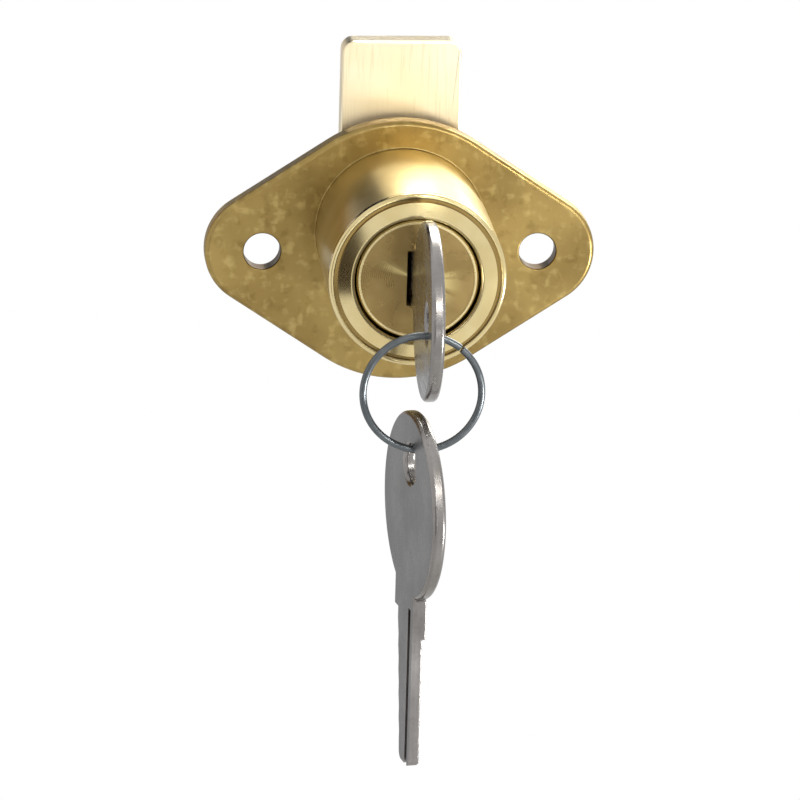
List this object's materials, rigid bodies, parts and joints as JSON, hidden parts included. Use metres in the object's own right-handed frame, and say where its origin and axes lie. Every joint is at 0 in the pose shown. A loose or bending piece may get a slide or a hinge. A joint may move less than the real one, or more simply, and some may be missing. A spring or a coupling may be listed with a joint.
{
  "type": "drawer lock",
  "caption": "Deadbolt drawer lock: lozenge flange, round barrel, disc-tumbler plug and flat bolt, with a key in the plug and a spare key on a wire ring.",
  "frame": {"origin": "midway between the two screw holes, on the flange's front face", "axes": "+Z the way the bolt throws, -Y out of the drawer front towards the key, +X to the right of someone who faces the key"},
  "size_m": [0.0498, 0.0618, 0.0799],
  "materials": {
    "cast_brass": "brass-plated zinc casting, fine mottled brushing",
    "drawn_brass": "polished drawn brass",
    "turned_brass": "turned brass with radial tool marks",
    "wafer_brass": "punched brass",
    "bolt_brass": "satin pale brass",
    "spring_steel": "bright spring wire",
    "cover_steel": "zinc-plated sheet",
    "key_nickel": "nickel-plated, tumbled",
    "ring_steel": "dark bright wire"
  },
  "bodies": {
    "root": {"housing": "cast_brass", "barrel_sleeve": "drawn_brass", "cover_plate": "cover_steel", "cover_rivets": "cover_steel"},
    "plug": {"plug": "turned_brass", "retaining_clip": "spring_steel", "wafer_spring_1": "spring_steel", "wafer_spring_2": "spring_steel", "wafer_spring_3": "spring_steel", "wafer_spring_4": "spring_steel", "wafer_spring_5": "spring_steel"},
    "bolt": {"bolt": "bolt_brass"},
    "key": {"key": "key_nickel"},
    "ring": {"key_ring": "ring_steel"},
    "spare": {"spare_key": "key_nickel"},
    "wafer_1": {"wafer_1": "wafer_brass"},
    "wafer_2": {"wafer_2": "wafer_brass"},
    "wafer_3": {"wafer_3": "wafer_brass"},
    "wafer_4": {"wafer_4": "wafer_brass"},
    "wafer_5": {"wafer_5": "wafer_brass"}
  },
  "joints": [
    {"name": "plug_turn", "type": "hinge", "parent": "root", "child": "plug", "pos_m": [0, 0, 0.0027], "axis": [0, 1, 0], "range_deg": [0, 180]},
    {"name": "bolt_throw", "type": "slide", "parent": "root", "child": "bolt", "axis": [0, 0, 1], "range_m": [-0.0095, 0]},
    {"name": "key_slide", "type": "slide", "parent": "plug", "child": "key", "axis": [0, -1, 0], "range_m": [0, 0.022]},
    {"name": "ring_swing", "type": "hinge", "parent": "key", "child": "ring", "pos_m": [0, -0.04153, 0.00109], "axis": [-1, 0, 0], "range_deg": [-5, 105]},
    {"name": "spare_swing", "type": "hinge", "parent": "ring", "child": "spare", "pos_m": [-0.0016, -0.04153, -0.01326], "axis": [-1, 0, 0], "range_deg": [-45, 45]},
    {"name": "wafer_1_lift", "type": "slide", "parent": "plug", "child": "wafer_1", "axis": [0, 0, -1], "range_m": [0, 0.000801], "deforming": ["wafer_spring_1"]},
    {"name": "wafer_2_lift", "type": "slide", "parent": "plug", "child": "wafer_2", "axis": [0, 0, -1], "range_m": [0, 0.000801], "deforming": ["wafer_spring_2"]},
    {"name": "wafer_3_lift", "type": "slide", "parent": "plug", "child": "wafer_3", "axis": [0, 0, -1], "range_m": [0, 0.000801], "deforming": ["wafer_spring_3"]},
    {"name": "wafer_4_lift", "type": "slide", "parent": "plug", "child": "wafer_4", "axis": [0, 0, -1], "range_m": [0, 0.000801], "deforming": ["wafer_spring_4"]},
    {"name": "wafer_5_lift", "type": "slide", "parent": "plug", "child": "wafer_5", "axis": [0, 0, -1], "range_m": [0, 0.000801], "deforming": ["wafer_spring_5"]}
  ],
  "couplings": [
    {"joint": "bolt_throw", "follows": "plug_turn", "m_per_rad": -0.0030239},
    {"joint": "wafer_1_lift", "follows": "key_slide", "ratio": 0.036364},
    {"joint": "wafer_2_lift", "follows": "key_slide", "ratio": 0.036364},
    {"joint": "wafer_3_lift", "follows": "key_slide", "ratio": 0.036364},
    {"joint": "wafer_4_lift", "follows": "key_slide", "ratio": 0.036364},
    {"joint": "wafer_5_lift", "follows": "key_slide", "ratio": 0.036364}
  ]
}
